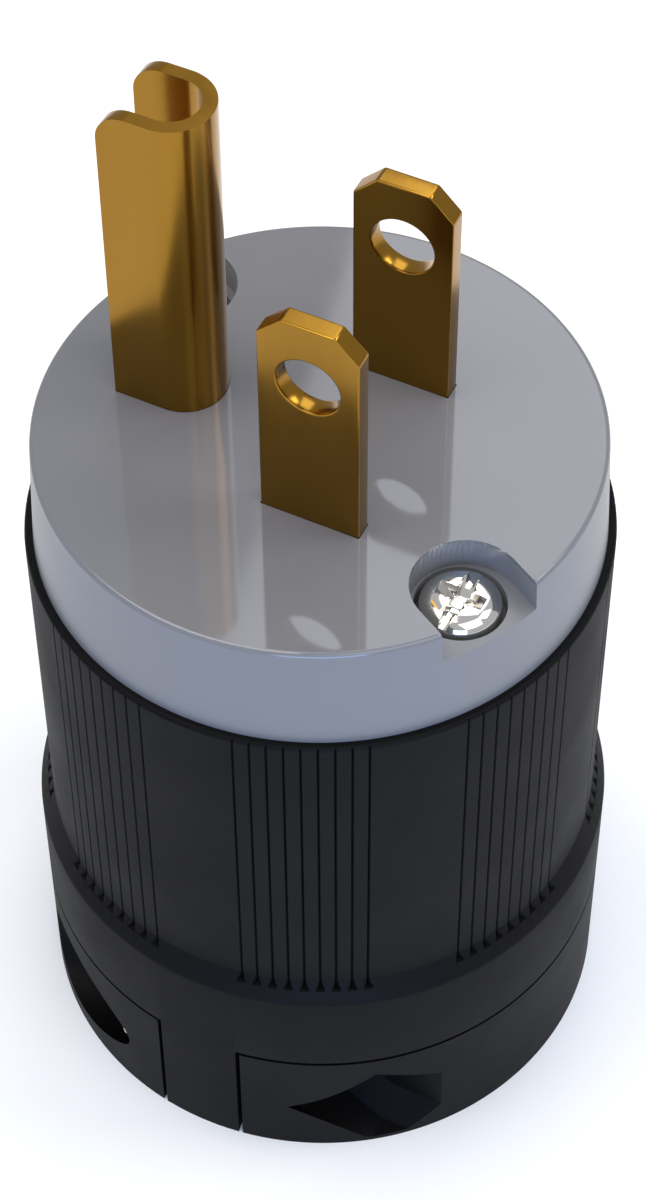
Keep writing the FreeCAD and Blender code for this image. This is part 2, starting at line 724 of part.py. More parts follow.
def hexagon(name, corner_radius, x, y, z):
    """A six-sided outline across the X direction, with two corners on the level of its middle."""
    outline = doc.addObject("Part::RegularPolygon", name)
    outline.Polygon = HEXAGON_SIDES
    bind(outline, "Circumradius", corner_radius)
    upright = Rotation(Vector(0, 1, 0), 90)
    corner_turn = Rotation(Vector(0, 0, 1), 180 / HEXAGON_SIDES)
    outline.Placement = Placement(Vector(0, 0, 0), upright.multiply(corner_turn))
    return place(outline, x, y, z)


def loft(name, *outlines):
    """A straight-sided solid through several outlines."""
    result = doc.addObject("Part::Loft", name)
    result.Sections = list(outlines)
    result.Solid = True
    result.Ruled = True
    return result


def make_jaw(name, side):
    """Cord clamp jaw. Both are one moulding: a head bore at one end and a nut pocket at the other."""
    top = S.floor_base - S.jaw_gap
    slot_side = S.jaw_half_slot
    reach = base_radius + 1
    block = common(
        name + "_block",
        rod(name + "_round", base_radius, z=(0, top)),
        box(name + "_half", (slot_side, reach), (-reach, reach), (0, top)),
    )
    land = common(
        name + "_land",
        rod(name + "_land_round", base_radius - S.pillar_depth - S.jaw_land_inset, z=(top - 1, S.floor_base)),
        box(name + "_land_half", (slot_side, reach), (-reach, reach), (top - 1, S.floor_base)),
    )
    blank = fuse(name + "_blank", block, land)
    tools = [rod(name + "_mouth", S.mouth_radius, z=(-1, S.floor_base + 1))]
    wide = S.mouth_radius + S.mouth_flare
    tools.append(cone(name + "_mouth_low", wide, S.mouth_radius, (0, S.mouth_flare_height)))
    tools.append(cone(
        name + "_mouth_high", S.mouth_radius, wide, (S.floor_base - S.mouth_flare_height, S.floor_base)
    ))
    for step in range(int(S.ridge_count.number)):
        middle = S.floor_base / 2 + S.ridge_pitch * (step - (S.ridge_count.number - 1) / 2)
        z = (middle - S.ridge_height / 2, middle + S.ridge_height / 2)
        tools.append(rod(name + "_ridge", S.mouth_radius + S.ridge_depth, z=z))
    relief_x = (0, S.pillar_half_width + S.jaw_gap)
    relief_start = base_radius - S.pillar_depth - S.jaw_gap
    for ends in ((relief_start, reach), (-reach, -relief_start)):
        tools.append(box(name + "_pillar_relief", relief_x, ends, (-1, S.floor_base + 1)))
    y = clamp_screw_offset
    z = S.clamp_screw_height
    for way in (-y, y):
        tools.append(rod_along_x(name + "_screw_hole", shaft_hole, (0, reach), way, z))
    tools.append(rod_along_x(name + "_head_bore", S.clamp_bore_radius, (S.clamp_head_seat, reach), y, z))
    pocket_corner = S.nut_corner_radius + S.nut_gap
    pocket_end = S.nut_seat + S.nut_height
    tools.append(loft(
        name + "_nut_pocket",
        hexagon(name + "_pocket_floor", pocket_corner, S.nut_seat, -y, z),
        hexagon(name + "_pocket_end", pocket_corner, pocket_end, -y, z),
    ))
    flare = loft(
        name + "_flare",
        hexagon(name + "_flare_start", pocket_corner, pocket_end, -y, z),
        hexagon(name + "_flare_mouth", S.pocket_mouth, S.pocket_mouth_place, -y, z),
        hexagon(name + "_flare_end", S.pocket_mouth, reach, -y, z),
    )
    flare_reach = (-reach, S.pocket_mouth_side - y)
    limit = box(name + "_flare_side", (0, reach), flare_reach, (-reach, reach))
    tools.append(common(name + "_flared_mouth", flare, limit))
    jaw = cut(name, blank, *tools)
    if side < 0:
        jaw.Placement = Placement(Vector(0, 0, 0), Rotation(Vector(0, 0, 1), 180))
    return jaw


def make_clamp_screw(name, side):
    """Clamp screw along X: its head in one jaw and its tip past the nut in the other."""
    y, z = size(0) - clamp_screw_offset, S.clamp_screw_height
    tip = S.nut_seat + S.nut_height + S.screw_tip_past_nut
    seat = -S.clamp_head_seat
    top = seat - S.clamp_head_height
    shank = rod_along_x(name + "_shank", S.shank_radius, (seat, tip), y, z)
    head = rod_along_x(name + "_head", S.clamp_head_radius, (top, seat), y, z)
    half = S.drive_width / 2
    reach = S.clamp_head_radius + 1
    slot = box(name + "_slot", (top - 1, top + S.drive_depth), (y - reach, y + reach), (z - half, z + half))
    screw = cut(name, fuse(name + "_blank", shank, head), slot)
    if side < 0:
        screw.Placement = Placement(Vector(0, 0, 0), Rotation(Vector(0, 0, 1), 180))
    return screw


def make_clamp_nut(name, side):
    """Hexagon nut in the jaw's pocket."""
    y, z = size(0) - clamp_screw_offset, S.clamp_screw_height
    end = S.nut_seat + S.nut_height
    blank = loft(
        name + "_blank",
        hexagon(name + "_near", S.nut_corner_radius, S.nut_seat, y, z),
        hexagon(name + "_far", S.nut_corner_radius, end, y, z),
    )
    hole = rod_along_x(name + "_thread", thread_hole, (S.nut_seat - 1, end + 1), y, z)
    nut = cut(name, blank, hole)
    if side < 0:
        nut.Placement = Placement(Vector(0, 0, 0), Rotation(Vector(0, 0, 1), 180))
    return nut


def build():
    """Make every piece and return them by node name."""
    nodes = {
        "shell": make_shell(),
        "face_cap": make_face_cap(),
        "terminal_carrier": make_carrier(),
        "blade_neutral": make_line_blade("blade_neutral", -1),
        "blade_hot": make_line_blade("blade_hot", 1),
        "blade_ground": make_ground_blade(),
        "wire_plate_neutral": make_line_plate("wire_plate_neutral", -1),
        "wire_plate_hot": make_line_plate("wire_plate_hot", 1),
        "wire_plate_ground": make_ground_plate("wire_plate_ground"),
        "terminal_screw_neutral": make_line_screw("terminal_screw_neutral", -1),
        "terminal_screw_hot": make_line_screw("terminal_screw_hot", 1),
        "terminal_screw_ground": make_ground_screw("terminal_screw_ground"),
    }
    for word, side in (("front", 1), ("back", -1)):
        nodes[f"assembly_screw_{word}"] = make_assembly_screw(f"assembly_screw_{word}", side)
        nodes[f"threaded_insert_{word}"] = make_insert(f"threaded_insert_{word}", side)
        nodes[f"clamp_screw_{word}"] = make_clamp_screw(f"clamp_screw_{word}", side)
        nodes[f"clamp_nut_{word}"] = make_clamp_nut(f"clamp_nut_{word}", side)
    for word, side in (("right", 1), ("left", -1)):
        nodes[f"clamp_jaw_{word}"] = make_jaw(f"clamp_jaw_{word}", side)
    return nodes


def check(nodes):
    """Stop if a feature failed or a piece is not one valid solid."""
    for item in doc.Objects:
        if "Invalid" in item.State or "Error" in item.State:
            raise RuntimeError(f"{item.Name} failed: {item.State}")
    for name, item in nodes.items():
        shape = item.Shape
        if shape.isNull() or not shape.isValid() or len(shape.Solids) != 1:
            raise RuntimeError(f"{name} is not one valid solid")


nodes = build()
doc.recompute()
check(nodes)
for name, item in nodes.items():
    item.Label = name
    item.Shape.exportStep(f"parts/{name}.step")
    print(f"{name}: {item.Shape.Volume:.1f} mm3")
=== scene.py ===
"""A three-wire grounding power plug, dressed and lit for a studio picture.

The plug stands on its cord end at the origin with +Z up to the blades. Each moulding, blade and
fastener is a class that holds its sizes in millimetres and works its surfaces out as arrays, and
the class of the whole plug builds and dresses them.
"""
import logging
import math
from collections.abc import Sequence
from dataclasses import dataclass, field
from enum import Enum

import bmesh
import bpy
import numpy as np
from bpy.types import Material, Mesh, Node, NodeSocket, NodeTree, Object
from mathutils import Matrix, Vector


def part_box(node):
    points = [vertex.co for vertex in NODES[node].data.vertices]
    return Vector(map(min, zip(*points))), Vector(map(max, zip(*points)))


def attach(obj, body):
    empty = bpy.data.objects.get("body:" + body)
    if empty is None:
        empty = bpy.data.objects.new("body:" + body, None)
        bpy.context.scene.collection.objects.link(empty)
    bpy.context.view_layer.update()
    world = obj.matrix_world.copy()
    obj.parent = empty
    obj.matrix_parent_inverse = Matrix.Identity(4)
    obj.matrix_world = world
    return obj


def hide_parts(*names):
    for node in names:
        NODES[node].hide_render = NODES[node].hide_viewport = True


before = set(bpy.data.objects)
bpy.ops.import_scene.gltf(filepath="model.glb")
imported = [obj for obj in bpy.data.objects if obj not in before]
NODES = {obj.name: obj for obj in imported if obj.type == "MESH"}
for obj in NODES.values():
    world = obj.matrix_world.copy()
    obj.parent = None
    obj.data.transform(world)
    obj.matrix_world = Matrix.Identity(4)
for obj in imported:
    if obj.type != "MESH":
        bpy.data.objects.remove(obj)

log = logging.getLogger("plug")
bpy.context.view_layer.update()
BODY = "root"
FULL_TURN = 2 * math.pi
Pair = tuple[float, float]
Place = tuple[float, float, float]
# One millimetre in metres
MM = 0.001
# Points nearer than this in millimetres are one point
WELD = 0.0004
# How far in millimetres a cutter reaches past what it cuts
PAST = 1.0
# Points round a bore, round a small hole and round half a bore
BORE_STEPS = 64
HOLE_STEPS = 48
HALF_STEPS = 33


class Cut(Enum):
    """How one closed solid changes another."""

    AWAY = "DIFFERENCE"
    SHARED = "INTERSECT"
    JOINED = "UNION"


# Meshes


def grid_faces(rows: int, columns: int, wrap_rows: bool, wrap_columns: bool) -> np.ndarray:
    """Index the quads of a grid of points.

    The point of row i and column j has the number i * columns + j. A wrapped direction joins its
    last line of points to its first.

    Args:
        rows: Number of rows.
        columns: Number of columns.
        wrap_rows: Join the last row to the first.
        wrap_columns: Join the last column to the first.

    Returns:
        An array of four point numbers for each quad.
    """
    row = np.arange(rows if wrap_rows else rows - 1)
    column = np.arange(columns if wrap_columns else columns - 1)
    i, j = np.meshgrid(row, column, indexing="ij")
    below, after = (i + 1) % rows, (j + 1) % columns
    corners = (i * columns + j, below * columns + j, below * columns + after, i * columns + after)
    return np.stack(corners, axis=-1).reshape(-1, 4)


def make_object(name: str, points: np.ndarray, faces: Sequence[Sequence[int]]) -> Object:
    """Put points in millimetres and faces into a new object at the origin.

    Args:
        name: Object name.
        points: Array of X, Y and Z in millimetres.
        faces: Point numbers of each face.

    Returns:
        The new object, closed at its seams and with its faces outwards.
    """
    mesh = bpy.data.meshes.new(name)
    mesh.from_pydata((points.reshape(-1, 3) * MM).tolist(), [], [list(map(int, f)) for f in faces])
    shell = welded(mesh)
    bmesh.ops.dissolve_degenerate(shell, edges=shell.edges, dist=WELD * MM)
    bmesh.ops.recalc_face_normals(shell, faces=shell.faces)
    shell.to_mesh(mesh)
    shell.free()
    return linked(bpy.data.objects.new(name, mesh))


def welded(mesh: Mesh) -> bmesh.types.BMesh:
    """Open a mesh for editing, with points that lie together made one.

    Args:
        mesh: The mesh, which stays as it is.

    Returns:
        The editable copy, for its caller to free.
    """
    shell = bmesh.new()
    shell.from_mesh(mesh)
    bmesh.ops.remove_doubles(shell, verts=shell.verts, dist=WELD * MM)
    return shell


def linked(item: Object) -> Object:
    """Put an object into the scene."""
    bpy.context.scene.collection.objects.link(item)
    return item


def round_points(angle: np.ndarray, radius: np.ndarray, height: np.ndarray) -> np.ndarray:
    """Return the points (r cos a, r sin a, z), with a row for each angle a in radians."""
    across, along = radius * np.cos(angle[:, None]), radius * np.sin(angle[:, None])
    return np.stack(np.broadcast_arrays(across, along, height), axis=-1)


def lathe(name: str, profile: np.ndarray, steps: int, closed: bool = True) -> Object:
    """Turn a profile of radius and height about the upright axis.

    Each point (r, z) goes to (r cos a, r sin a, z) for evenly spaced angles a.

    Args:
        name: Object name.
        profile: Array of radius and height in millimetres.
        steps: Number of angles.
        closed: Join the profile's end to its start, for a ring. An open profile ends on the axis.

    Returns:
        The new closed solid.
    """
    angle = np.linspace(0, FULL_TURN, steps, endpoint=False)
    points = round_points(angle, profile[:, 0], profile[:, 1])
    return make_object(name, points, grid_faces(steps, len(profile), True, closed))


def rod(name: str, radius: float, length: float, steps: int) -> Object:
    """Make an upright round cutter from the origin up."""
    profile = np.array([[0, 0], [radius, 0], [radius, length], [0, length]])
    return lathe(name, profile, steps, closed=False)


def arc(centre: Pair, radius: float, start: float, end: float, count: int) -> np.ndarray:
    """Return points on an arc, evenly spaced from a start to an end angle in degrees."""
    angle = np.radians(np.linspace(start, end, count))
    return np.stack((centre[0] + radius * np.cos(angle), centre[1] + radius * np.sin(angle)), axis=-1)


def nearest(angle: np.ndarray, targets: np.ndarray) -> np.ndarray:
    """Return how far in radians each angle is from the nearest target, either way round."""
    away = (angle[:, None] - targets[None, :] + math.pi) % FULL_TURN - math.pi
    return np.abs(away).min(axis=1)


def circle(centre: Pair, radius: float, steps: int) -> np.ndarray:
    """Return evenly spaced points round a circle."""
    return arc(centre, radius, 0, 360, steps + 1)[:-1]


def at_height(outline: np.ndarray, height: float) -> np.ndarray:
    """Lift a flat outline of X and Y to a height."""
    return np.column_stack((outline, np.full(len(outline), height)))


def block(name: str, low: Sequence[float], high: Sequence[float]) -> Object:
    """Make a rectangular solid.

    Args:
        name: Object name.
        low: Lowest corner in millimetres.
        high: Highest corner.

    Returns:
        The solid.
    """
    width, depth, height = zip(low, high)
    corners = np.array([[x, y, z] for x in width for y in depth for z in height])
    faces = ((0, 1, 3, 2), (4, 6, 7, 5), (0, 4, 5, 1), (2, 3, 7, 6), (0, 2, 6, 4), (1, 5, 7, 3))
    return make_object(name, corners, faces)


def prism(name: str, sections: Sequence[np.ndarray]) -> Object:
    """Join outlines of equal point counts into a closed solid with flat ends.

    Args:
        name: Object name.
        sections: Outlines of X, Y and Z, in order.

    Returns:
        The solid.
    """
    count = len(sections[0])
    points = np.concatenate(sections)
    faces = [list(face) for face in grid_faces(len(sections), count, False, True)]
    faces += [list(range(count)), list(range(len(points) - count, len(points)))]
    return make_object(name, points, faces)


def upright(name: str, outline: np.ndarray, low: float, high: float) -> Object:
    """Stand an outline of X and Y up from one height to another."""
    return prism(name, [at_height(outline, z) for z in (low, high)])


def plate(name: str, outline: np.ndarray, half: float) -> Object:
    """Thicken an outline of X and Z by half a thickness to both sides along Y."""
    sides = [np.insert(outline, 1, y, axis=1) for y in (-half, half)]
    return prism(name, sides)


def join(item: Object, other: Object) -> Object:
    """Add another object's mesh to an object and delete the other.

    Args:
        item: The object that stays.
        other: The object that it takes in.

    Returns:
        The first object.
    """
    whole = bmesh.new()
    for part in (item, other):
        whole.from_mesh(part.data)
    whole.to_mesh(item.data)
    whole.free()
    bpy.data.objects.remove(other)
    return item


def moved(item: Object, *moves: Matrix) -> Object:
    """Move a mesh, leaving its object at the origin.

    Args:
        item: The mesh's object.
        moves: Matrices, of which the last one acts first.

    Returns:
        The object.
    """
    matrix = Matrix.Identity(4)
    for move in moves:
        matrix = matrix @ move
    item.data.transform(matrix)
    return item


def shift(place: Sequence[float]) -> Matrix:
    """Return the move from the origin to a place in millimetres."""
    return Matrix.Translation(Vector(place) * MM)


def spin(degrees: float, axis: str = "Z") -> Matrix:
    """Return a turn about an axis."""
    return Matrix.Rotation(math.radians(degrees), 4, axis)


def along_x(item: Object, place: Sequence[float]) -> Object:
    """Turn an upright shape so that its +Z points along +X, and move it to a place in millimetres."""
    return moved(item, shift(place), spin(90, "Y"))


def on_side(item: Object, side: int) -> Object:
    """Turn a piece half round about the upright axis where its side is -1."""
    return moved(item, spin(180)) if side < 0 else item


def applied(item: Object) -> Object:
    """Bake an object's modifiers into its mesh.

    Args:
        item: The object.

    Returns:
        The object with its new mesh.
    """
    graph = bpy.context.evaluated_depsgraph_get()
    mesh = bpy.data.meshes.new_from_object(item.evaluated_get(graph))
    old = item.data
    item.modifiers.clear()
    item.data = mesh
    mesh.name = item.name
    bpy.data.meshes.remove(old)
    return item


def carve(item: Object, cutters: Sequence[Object], cut: Cut = Cut.AWAY) -> Object:
    """Change an object by closed solids, one after the other, and delete them.

    Args:
        item: The object.
        cutters: The closed solids.
        cut: How they change it.

    Returns:
        The object.
    """
    for cutter in cutters:
        modifier = item.modifiers.new("cut", "BOOLEAN")
        modifier.object = cutter
        modifier.operation = cut.value
        modifier.solver = "EXACT"
    applied(item)
    for cutter in cutters:
        mesh = cutter.data
        bpy.data.objects.remove(cutter)
        bpy.data.meshes.remove(mesh)
    return item


def soften(item: Object, width: float, sharp: float = 35.0) -> Object:
    """Round an object's edges.

    Args:
        item: The object.
        width: Width of the round in millimetres.
        sharp: Angle in degrees from which an edge is rounded.

    Returns:
        The object.
    """
    bevel = item.modifiers.new("edge", "BEVEL")
    bevel.width = width * MM
    bevel.segments = 2
    bevel.limit_method = "ANGLE"
    bevel.angle_limit = math.radians(sharp)
    bevel.miter_outer = "MITER_ARC"
    return applied(item)


def shade(item: Object, sharp: float = 30.0, weighted: bool = True) -> Object:
    """Shade an object smooth.

    Args:
        item: The object.
        sharp: Angle in degrees from which an edge stays sharp.
        weighted: Let its broad faces lead the normals.

    Returns:
        The object.
    """
    item.data.shade_smooth()
    item.data.set_sharp_from_angle(angle=math.radians(sharp))
    if weighted:
        modifier = item.modifiers.new("normals", "WEIGHTED_NORMAL")
        modifier.keep_sharp = True
        applied(item)
    return item


# Finishes


def linear(colour: str) -> tuple[float, float, float, float]:
    """Turn an sRGB hex colour such as #9b9ca0 into linear red, green, blue and alpha."""
    channels = (int(colour[i:i + 2], 16) / 255 for i in (1, 3, 5))
    return (*(c / 12.92 if c <= 0.04045 else ((c + 0.055) / 1.055) ** 2.4 for c in channels), 1.0)


def add_node(
    tree: NodeTree,
    kind: str,
    links: dict[str | int, NodeSocket] | None = None,
    values: dict[str | int, object] | None = None,
    **settings: object,
) -> Node:
    """Add a node with its settings, input values and incoming links.

    Args:
        tree: Node tree to add to.
        kind: Node type.
        links: Sockets that feed the node's inputs.
        values: Constant values of the node's inputs.
        settings: Properties of the node itself.

    Returns:
        The new node.
    """
    node = tree.nodes.new(kind)
    for name, value in settings.items():
        setattr(node, name, value)
    for name, value in (values or {}).items():
        node.inputs[name].default_value = value
    for name, source in (links or {}).items():
        tree.links.new(source, node.inputs[name])
    return node


def noise(
    tree: NodeTree, place: NodeSocket, spacing: float, detail: float, roughness: float
) -> NodeSocket:
    """Add a noise with features about as far apart as a spacing in millimetres."""
    values = {"Scale": 1 / (spacing * MM), "Detail": detail, "Roughness": roughness}
    return add_node(tree, "ShaderNodeTexNoise", {"Vector": place}, values).outputs["Fac"]


# Sockets of a colour Mix node, whose names stand twice on it
MIX_FACTOR, MIX_FIRST, MIX_SECOND, MIX_RESULT = 0, 6, 7, 2


@dataclass(frozen=True)
class Finish:
    """A finish: its name, the two tones it varies between, its gloss and its grain.

    The grain, its depth, the patches and the satin heights are in millimetres.
    """

    name: str
    tone: str
    second_tone: str
    roughness: float
    roughness_spread: float
    grain: float
    grain_depth: float
    patch: float = 7.0
    stretch: Place = (1.0, 1.0, 1.0)
    metallic: float = 0.0
    ior: float = 1.5
    specular: float = 0.5
    satin: float = 0.0
    satin_below: float = 0.0
    satin_fade: float = 0.3

    def satin_sides(self, tree: NodeTree, place: NodeSocket, gloss: NodeSocket) -> NodeSocket:
        """Add roughness below a height, where the mould's walls are not polished.

        Args:
            tree: Node tree to add to.
            place: Object coordinates.
            gloss: Roughness of the polished face.

        Returns:
            The roughness of the whole surface.
        """
        height = add_node(tree, "ShaderNodeSeparateXYZ", {"Vector": place}).outputs["Z"]
        added = add_node(
            tree, "ShaderNodeMapRange", {"Value": height},
            {
                "From Min": (self.satin_below - self.satin_fade) * MM,
                "From Max": self.satin_below * MM,
                "To Min": self.satin, "To Max": 0.0,
            },
        ).outputs["Result"]
        return add_node(tree, "ShaderNodeMath", {0: gloss, 1: added}, operation="ADD").outputs["Value"]

    def material(self) -> Material:
        """Build the material: patches of tone and gloss, and a fine grain in the bump.

        Returns:
            The new node material.
        """
        material = bpy.data.materials.new(self.name)
        material.use_nodes = True
        tree = material.node_tree
        tree.nodes.clear()
        place = add_node(tree, "ShaderNodeTexCoord").outputs["Object"]
        stretched = add_node(
            tree, "ShaderNodeMapping", {"Vector": place}, {"Scale": self.stretch}
        ).outputs["Vector"]
        patches = noise(tree, stretched, self.patch, 4.0, 0.6)
        grain = noise(tree, stretched, self.grain, 3.0, 0.55)
        tones = add_node(
            tree, "ShaderNodeMix", {MIX_FACTOR: patches},
            {MIX_FIRST: linear(self.tone), MIX_SECOND: linear(self.second_tone)}, data_type="RGBA",
        )
        gloss = add_node(
            tree, "ShaderNodeMapRange", {"Value": patches},
            {
                "From Min": 0.3, "From Max": 0.7,
                "To Min": self.roughness - self.roughness_spread,
                "To Max": self.roughness + self.roughness_spread,
            },
        ).outputs["Result"]
        if self.satin:
            gloss = self.satin_sides(tree, place, gloss)
        bump = add_node(
            tree, "ShaderNodeBump", {"Height": grain},
            {"Strength": 1.0, "Distance": self.grain_depth * MM},
        ).outputs["Normal"]
        shader = add_node(
            tree, "ShaderNodeBsdfPrincipled",
            {"Base Color": tones.outputs[MIX_RESULT], "Roughness": gloss, "Normal": bump},
            {"Metallic": self.metallic, "IOR": self.ior, "Specular IOR Level": self.specular},
        )
        add_node(tree, "ShaderNodeOutputMaterial", {"Surface": shader.outputs["BSDF"]})
        return material


# Grey nylon: a wet, mirror-like gloss on the polished face, satin on its side and in its recesses
GREY_NYLON = Finish(
    "grey_nylon_polished", "#6c6d71", "#6f7074", 0.06, 0.02, 0.5, 0.0004, ior=1.53,
    satin=0.3, satin_below=53.2,
)
# Black nylon, moulded in a finely blasted tool: soft satin gleams along its edges
BLACK_NYLON = Finish(
    "black_nylon_satin", "#08080a", "#0b0b0d", 0.55, 0.05, 0.16, 0.003, ior=1.53, specular=0.08,
)
# Dark thermoset resin, pressed: duller than the shell, with a coarse fill
CARRIER_RESIN = Finish("carrier_resin_pressed", "#2a2624", "#332e2b", 0.5, 0.06, 0.25, 0.01, ior=1.55)
# Cartridge brass, rolled and blanked: long soft streaks up the blade
BLADE_BRASS = Finish(
    "brass_rolled", "#997129", "#8f6924", 0.2, 0.05, 0.09, 0.0008,
    patch=3.0, stretch=(1.0, 1.0, 0.08), metallic=1.0,
)
# Turned brass of the hot terminal and the inserts: brighter, with no streaks
TERMINAL_BRASS = Finish("brass_turned", "#caa24c", "#bd9440", 0.22, 0.05, 0.2, 0.002, metallic=1.0)
# Steel with bright nickel plate: cold headed, near mirror
NICKEL_PLATE = Finish("nickel_plate_bright", "#e4e2dd", "#dad8d3", 0.1, 0.04, 0.3, 0.0015, metallic=1.0)
# Steel with a green dyed plate: the ground terminal's screw
GREEN_PLATE = Finish("green_dyed_plate", "#1d6b35", "#175a2c", 0.3, 0.05, 0.3, 0.002, metallic=0.6)


def dress(item: Object, material: Material, slot: str, *nodes: str) -> None:
    """Give a new piece its material and body, and let it stand for CAD nodes.

    Args:
        item: The new piece.
        material: Its material.
        slot: Name of a material slot; not used.
        nodes: CAD nodes that it replaces.
    """
    item.data.materials.clear()
    item.data.materials.append(material)
    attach(item, BODY)
    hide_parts(*nodes)
    log.info("%s: %d faces", item.name, len(item.data.polygons))


def smooth_copy(name: str, node: str) -> Object:
    """Copy a CAD node's solid, welded and with its round faces shaded smooth.

    Args:
        name: Object name.
        node: The CAD node.

    Returns:
        The copy.
    """
    item = linked(bpy.data.objects.new(name, NODES[node].data.copy()))
    shell = welded(item.data)
    shell.to_mesh(item.data)
    shell.free()
    return shade(item, sharp=32.0)


# Sub-assemblies


def box_corner(node: str, end: int) -> tuple[float, ...]:
    """Return a CAD node's lowest (0) or highest (1) corner in millimetres, to a hundredth."""
    return tuple(round(value / MM, 2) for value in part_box(node)[end])


# Heights and a radius that pieces share
JOINT = box_corner("face_cap", 0)[2]
FACE = box_corner("face_cap", 1)[2]
JAW_TOP = box_corner("clamp_jaw_right", 1)[2]
LEG_LOW = box_corner("blade_hot", 0)[2]
BASE_RADIUS = box_corner("shell", 1)[0]


@dataclass(frozen=True)
class ScrewPlaces:
    """Where the two assembly screws and their recesses are, opposite each other."""

    circle: float = 14.7
    angle: float = -29.0
    head_seat: float = 49.6

    def centre(self, side: int, outwards: float = 0.0) -> Pair:
        """Return X and Y of the front (1) or back (-1) screw's middle line, or outwards of it."""
        turn, radius = math.radians(self.angle), side * (self.circle + outwards)
        return radius * math.cos(turn), radius * math.sin(turn)


@dataclass(frozen=True)
class ClampPlaces:
    """Where the clamp screw at -Y lies along X: its middle line, its head's seat and its nut."""

    y: float = -15.2
    z: float = 4.75
    head_seat: float = -4.7
    nut_seat: float = box_corner("clamp_nut_front", 0)[0]
    nut_end: float = box_corner("clamp_nut_front", 1)[0]


@dataclass
class Blade:
    """What the blades have in common under the face: shoulders, a leg and a threaded hole."""

    shoulder: float = 1.4
    shoulder_low: float = 43.4
    shoulder_top: float = JOINT
    leg_low: float = LEG_LOW
    terminal: float = 36.4
    thread: float = 1.77


@dataclass
class LineBlade(Blade):
    """A flat line blade: cut corners and a hole above the face, shoulders and a leg below it."""

    x: float = 2.75
    y: float = 6.35
    half: float = 3.3
    sheet: float = 1.3
    tip: float = box_corner("blade_hot", 1)[2]
    corner: float = 1.55
    hole_radius: float = 2.05
    hole_height: float = 11.65
    hole_steps: int = 96
    edge: float = 0.15

    def outline(self) -> np.ndarray:
        """Lay out the blank round its own middle line.

        Returns:
            Array of X and Z.
        """
        wide = self.half + self.shoulder
        right = np.array([
            [self.half, self.leg_low], [self.half, self.shoulder_low], [wide, self.shoulder_low],
            [wide, self.shoulder_top], [self.half, self.shoulder_top],
            [self.half, self.tip - self.corner], [self.half - self.corner, self.tip],
        ])
        return np.concatenate((right, right[::-1] * (-1, 1)))

    def build(self, name: str, side: int) -> Object:
        """Build one blade.

        Args:
            name: Object name.
            side: 1 for the blade at +Y, -1 for the one at -Y.

        Returns:
            The blade.
        """
        blank = plate(name, self.outline(), self.sheet / 2)
        rounds = (
            circle((0, FACE + self.hole_height), self.hole_radius, self.hole_steps),
            circle((0, self.terminal), self.thread, HOLE_STEPS),
        )
        holes = [plate("hole", edge, self.sheet) for edge in rounds]
        blade = soften(carve(blank, holes), self.edge)
        return shade(moved(blade, shift((self.x, side * self.y, 0))))


@dataclass
class GroundBlade(Blade):
    """The ground blade: a sheet bent to a U, its open side outwards, with rounded upper corners."""

    bend_x: float = -9.3
    radius: float = 2.75
    sheet: float = 0.9
    end_x: float = -12.8
    tip: float = box_corner("blade_ground", 1)[2]
    corner: float = 2.0
    corner_points: int = 17
    edge: float = 0.16
    bend_points: int = 49

    def section(self, points: int, gap: float = 0.0) -> np.ndarray:
        """Return the U's outline of X and Y, round the outside and back round the inside.

        Args:
            points: Points on each arc.
            gap: How far the outline stands off the sheet.

        Returns:
            Array of X and Y.
        """
        outer, inner = self.radius + gap, self.radius - self.sheet - gap
        outside = arc((self.bend_x, 0), outer, -90, 90, points)
        inside = arc((self.bend_x, 0), inner, 90, -90, points)
        end = self.end_x - gap
        middle = [[end, outer], [end, inner]]
        return np.concatenate(([[end, -outer]], outside, middle, inside, [[end, -inner]]))

    def corner_cutter(self) -> Object:
        """Make the cutter that rounds both flanges' upper outer corners.

        Returns:
            The cutter.
        """
        x, z = self.end_x + self.corner, self.tip - self.corner
        quarter = arc((x, z), self.corner, 90, 180, self.corner_points)
        out, over = self.end_x - PAST, self.tip + PAST
        outline = np.concatenate((quarter, [[out, z], [out, over], [x, over]]))
        return plate("corner", outline, self.radius + PAST)

    def build(self, name: str) -> Object:
        """Stand the U's outline up, round its corners and add its shoulders, leg and hole.

        Args:
            name: Object name.

        Returns:
            The blade.
        """
        blade = upright(name, self.section(self.bend_points), self.shoulder_low, self.tip)
        carve(blade, [self.corner_cutter()])
        back = self.bend_x + self.radius
        front = back - self.sheet
        outer, inner = self.radius, self.radius - self.sheet
        leg = block("leg", (front, -outer, self.leg_low), (back, outer, self.shoulder_top))
        out, within = self.end_x - self.shoulder, self.end_x + PAST
        shoulders = [
            block("shoulder", (out, low, self.shoulder_low), (within, high, self.shoulder_top))
            for low, high in ((-outer, -inner), (inner, outer))
        ]
        carve(blade, [leg, *shoulders], Cut.JOINED)
        thread = rod("thread", self.thread, 3 * self.sheet, HOLE_STEPS)
        hole = along_x(thread, (front - self.sheet, 0, self.terminal))
        return shade(soften(carve(blade, [hole]), self.edge))


